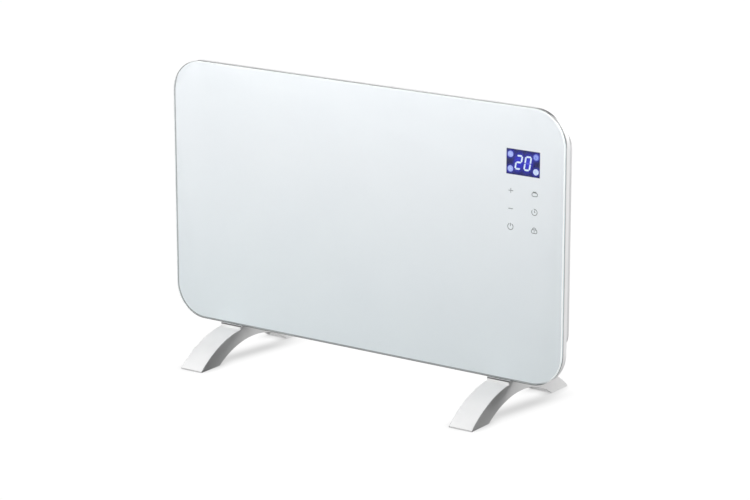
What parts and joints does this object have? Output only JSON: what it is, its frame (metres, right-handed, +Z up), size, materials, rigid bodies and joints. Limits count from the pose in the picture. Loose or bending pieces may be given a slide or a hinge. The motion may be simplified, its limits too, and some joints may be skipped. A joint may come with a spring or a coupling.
{
  "type": "wall panel convector heater",
  "caption": "Slim glass-fronted convector heater with a lit display and touch icons, a slotted rear casing and two arched feet.",
  "frame": {"origin": "on the floor, under the middle of the panel's width and midway between the toes of the feet", "axes": "+X to the right of the front face, +Y to the rear, +Z up"},
  "size_m": [0.74, 0.278, 0.483],
  "materials": {
    "clear_glass": "polished",
    "white_enamel": "glossy",
    "icon_ink": "matte",
    "adhesive": "matte",
    "white_steel": "satin",
    "zinc_steel": "satin",
    "rod_steel": "matte",
    "fin_aluminium": "satin",
    "shield_aluminium": "satin",
    "bushing_ceramic": "matte",
    "display_body": "glossy",
    "display_light": "lit",
    "white_plastic": "satin",
    "grey_plastic": "satin",
    "black_plastic": "satin",
    "circuit_board": "satin",
    "relay_case": "glossy",
    "capacitor_case": "glossy",
    "terminal_plastic": "satin",
    "brass": "satin",
    "conductive_rubber": "matte",
    "sole_rubber": "matte",
    "lead_insulation": "matte",
    "ribbon_insulation": "matte"
  },
  "bodies": {
    "panel": {"glass_panel": "clear_glass", "enamel_print": "white_enamel", "icon_print": "icon_ink", "glass_adhesive": "adhesive", "front_tray": "white_steel", "rear_casing": "white_steel", "casing_posts": "zinc_steel", "casing_screws": "zinc_steel", "display_module": "display_body", "display_symbols": "display_light", "control_carrier": "black_plastic", "control_board": "circuit_board", "control_board_screws": "zinc_steel", "carrier_screws": "zinc_steel", "touch_pads": "conductive_rubber", "heat_shield": "shield_aluminium", "left_element_bracket": "zinc_steel", "right_element_bracket": "zinc_steel", "lower_element_fins": "fin_aluminium", "upper_element_fins": "fin_aluminium", "lower_heating_rod": "rod_steel", "upper_heating_rod": "rod_steel", "rod_bushings": "bushing_ceramic", "rod_pins": "zinc_steel", "thermal_cutout": "bushing_ceramic", "thermal_fuse": "zinc_steel", "fuse_clip": "bushing_ceramic", "power_board": "circuit_board", "power_board_screws": "zinc_steel", "board_standoffs": "white_plastic", "relays": "relay_case", "mains_terminal_block": "terminal_plastic", "suppression_capacitor": "capacitor_case", "tilt_switch_housing": "grey_plastic", "tilt_pivot_pin": "zinc_steel", "tilt_optical_sensor": "black_plastic", "power_switch_body": "white_plastic", "power_switch_blades": "brass", "cord_gland": "white_plastic", "gland_nut": "white_plastic", "room_sensor": "black_plastic", "sensor_clip": "white_plastic", "left_foot": "white_plastic", "right_foot": "white_plastic", "left_foot_soles": "sole_rubber", "right_foot_soles": "sole_rubber", "foot_screws": "zinc_steel", "foot_nut_plates": "zinc_steel", "ribbon_cable": "ribbon_insulation", "element_leads": "lead_insulation", "switch_lead": "lead_insulation"},
    "switch_rocker": {"power_switch_rocker": "grey_plastic"},
    "tilt_weight": {"tilt_pendulum": "brass"}
  },
  "joints": [
    {"name": "power_switch_rock", "type": "hinge", "parent": "panel", "child": "switch_rocker", "pos_m": [0.297, 0.033, 0.118], "axis": [-1, 0, 0], "range_deg": [0, 22]},
    {"name": "tilt_pendulum_swing", "type": "hinge", "parent": "panel", "child": "tilt_weight", "pos_m": [0.311, 0.005, 0.224], "axis": [1, 0, 0], "range_deg": [-30, 30]}
  ]
}
